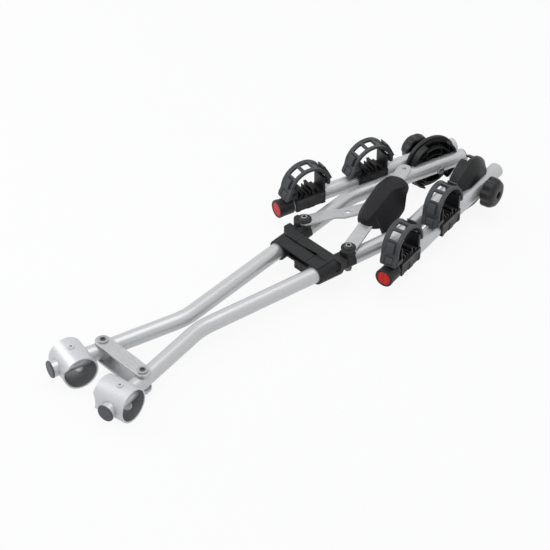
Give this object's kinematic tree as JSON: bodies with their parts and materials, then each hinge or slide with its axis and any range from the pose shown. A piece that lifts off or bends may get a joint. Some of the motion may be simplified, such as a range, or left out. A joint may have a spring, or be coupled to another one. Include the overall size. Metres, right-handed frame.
{
  "type": "hitch bike carrier",
  "caption": "Folding tow-ball bike carrier: crossed tube frame with clamp cups, toggle lever, folding arms and cradles with rubber straps.",
  "frame": {"origin": "centre of the tow ball that the cups grip, where the two cups meet when the toggle is closed", "axes": "+X to the right arm, +Y up the frame from the cups to the arm hinges, +Z the side that the arms fold out to; the carrier lies folded flat"},
  "size_m": [0.2828, 0.8894, 0.121],
  "materials": {
    "tube_steel": "silver powder coat, satin",
    "plate_steel": "silver powder coat, satin",
    "bolt_steel": "zinc plated",
    "plug_plastic": "dark grey moulded plastic",
    "black_plastic": "fine textured black plastic",
    "soft_black": "soft black overmould",
    "strap_rubber": "smooth dark rubber",
    "reflector_red": "clear red reflector"
  },
  "bodies": {
    "clamp_links": {"link_plate_top": "plate_steel", "link_plate_bottom": "plate_steel", "pivot_bolt_left": "bolt_steel", "pivot_bolt_right": "bolt_steel"},
    "left_frame": {"frame_tube_left": "tube_steel", "ball_cup_left": "tube_steel", "foot_plug_left": "plug_plastic", "cup_screw_left": "bolt_steel", "bracket_left": "black_plastic", "bracket_base_left": "black_plastic", "ear_bolt_left": "bolt_steel", "hinge_dish_left": "black_plastic", "hinge_bolt_left": "bolt_steel", "frame_plug_left": "plug_plastic"},
    "right_frame": {"frame_tube_right": "tube_steel", "ball_cup_right": "tube_steel", "foot_plug_right": "plug_plastic", "cup_screw_right": "bolt_steel", "bracket_right": "black_plastic", "bracket_base_right": "black_plastic", "ear_bolt_right": "bolt_steel", "hinge_dish_right": "black_plastic", "hinge_bolt_right": "bolt_steel", "frame_plug_right": "plug_plastic"},
    "link": {"link_bar": "plate_steel"},
    "lever": {"lever_bar": "plate_steel", "toggle_pin": "bolt_steel", "grip": "soft_black"},
    "left_arm": {"arm_tube_left": "tube_steel", "arm_seat_left": "black_plastic", "arm_cap_left": "black_plastic", "reflector_left": "reflector_red", "arm_plug_left": "plug_plastic", "cradle_left_front": "black_plastic", "cradle_left_rear": "black_plastic"},
    "left_knob": {"knob_left": "black_plastic"},
    "left_front_strap": {"strap_left_front": "strap_rubber"},
    "left_rear_strap": {"strap_left_rear": "strap_rubber"},
    "right_arm": {"arm_tube_right": "tube_steel", "arm_seat_right": "black_plastic", "arm_cap_right": "black_plastic", "reflector_right": "reflector_red", "arm_plug_right": "plug_plastic", "cradle_right_front": "black_plastic", "cradle_right_rear": "black_plastic"},
    "right_knob": {"knob_right": "black_plastic"},
    "right_front_strap": {"strap_right_front": "strap_rubber"},
    "right_rear_strap": {"strap_right_rear": "strap_rubber"}
  },
  "joints": [
    {"name": "right_frame_swing", "type": "hinge", "parent": "clamp_links", "child": "right_frame", "pos_m": [0.0473, 0.0535, 0], "axis": [0, 0, -1], "range_deg": [0, 12]},
    {"name": "left_frame_swing", "type": "hinge", "parent": "clamp_links", "child": "left_frame", "pos_m": [-0.0473, 0.0535, 0], "axis": [0, 0, 1], "range_deg": [0, 12]},
    {"name": "lever_swing", "type": "hinge", "parent": "right_frame", "child": "lever", "pos_m": [0.0519, 0.484, 0], "axis": [0, 0, 1], "range_deg": [0, 82.5]},
    {"name": "link_swing", "type": "hinge", "parent": "left_frame", "child": "link", "pos_m": [-0.0519, 0.484, 0], "axis": [0, 0, -1], "range_deg": [0, 82.5]},
    {"name": "left_arm_fold", "type": "hinge", "parent": "left_frame", "child": "left_arm", "pos_m": [-0.02908, 0.77815, 0], "axis": [-0.9781, 0.2079, 0], "range_deg": [0, 90]},
    {"name": "left_knob_turn", "type": "hinge", "parent": "left_frame", "child": "left_knob", "pos_m": [-0.02908, 0.77815, 0], "axis": [-0.9781, 0.2079, 0], "continuous": true},
    {"name": "left_front_strap_open", "type": "hinge", "parent": "left_arm", "child": "left_front_strap", "pos_m": [-0.1224, 0.50749, 0.024], "axis": [0.9781, -0.2079, 0], "range_deg": [0, 65]},
    {"name": "left_rear_strap_open", "type": "hinge", "parent": "left_arm", "child": "left_rear_strap", "pos_m": [-0.09599, 0.63172, 0.024], "axis": [0.9781, -0.2079, 0], "range_deg": [0, 65]},
    {"name": "right_arm_fold", "type": "hinge", "parent": "right_frame", "child": "right_arm", "pos_m": [0.02908, 0.77815, 0], "axis": [-0.9781, -0.2079, 0], "range_deg": [0, 90]},
    {"name": "right_knob_turn", "type": "hinge", "parent": "right_frame", "child": "right_knob", "pos_m": [0.02908, 0.77815, 0], "axis": [0.9781, 0.2079, 0], "continuous": true},
    {"name": "right_front_strap_open", "type": "hinge", "parent": "right_arm", "child": "right_front_strap", "pos_m": [0.1224, 0.50749, 0.024], "axis": [0.9781, 0.2079, 0], "range_deg": [0, 65]},
    {"name": "right_rear_strap_open", "type": "hinge", "parent": "right_arm", "child": "right_rear_strap", "pos_m": [0.09599, 0.63172, 0.024], "axis": [0.9781, 0.2079, 0], "range_deg": [0, 65]}
  ],
  "couplings": [
    {"joint": "left_frame_swing", "follows": "right_frame_swing", "ratio": 1},
    {"joint": "lever_swing", "follows": "right_frame_swing", "ratio": 6.8721},
    {"joint": "link_swing", "follows": "right_frame_swing", "ratio": 6.8721}
  ]
}
